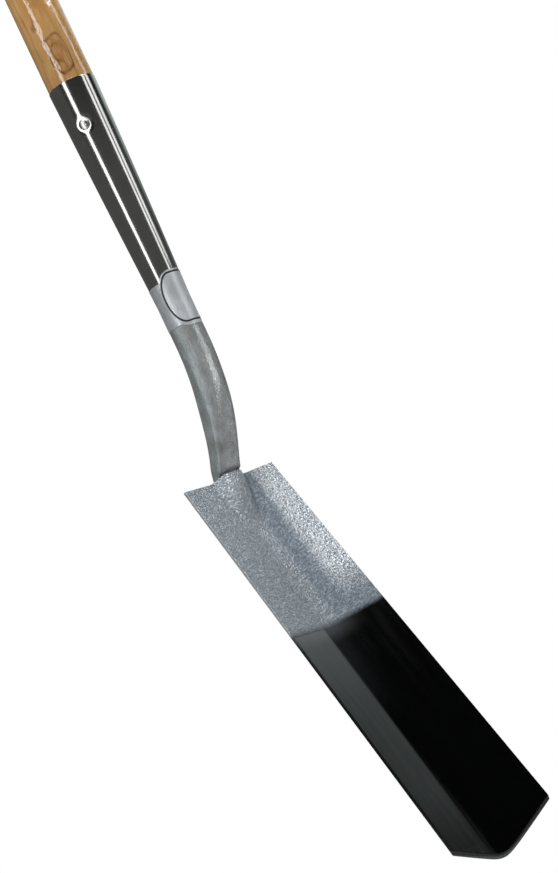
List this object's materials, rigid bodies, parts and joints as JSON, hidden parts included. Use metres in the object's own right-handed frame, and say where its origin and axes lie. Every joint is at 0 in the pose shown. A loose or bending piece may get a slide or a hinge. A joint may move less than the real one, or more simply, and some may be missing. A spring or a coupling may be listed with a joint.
{
  "type": "trenching spade",
  "caption": "Long-handled trenching spade: narrow dished steel blade with a shallow point on a bent steel neck, conical socket and a round ash handle.",
  "frame": {"origin": "on the handle's axis, at the centre of the socket's mouth where the shaft enters it", "axes": "+Z along the handle towards its free end, the blade hangs towards -Z, the hollow face of the blade looks to -Y, +X across the blade"},
  "size_m": [0.117, 0.114, 1.6241],
  "materials": {
    "ash": "clear gloss lacquer over ash with long grain",
    "polished_steel": "polished lengthwise",
    "rivet_steel": "polished",
    "neck_paint": "grey hammered paint",
    "blade_paint": "blue-grey hammered paint, glossy black dip on the lower part",
    "weld_paint": "grey hammered paint over the weld",
    "foil": "satin silver foil with a black outline"
  },
  "bodies": {
    "root": {"handle": "ash", "socket": "polished_steel", "rivet": "rivet_steel", "neck": "neck_paint", "blade": "blade_paint", "weld_left": "weld_paint", "weld_right": "weld_paint", "label": "foil"}
  },
  "joints": []
}
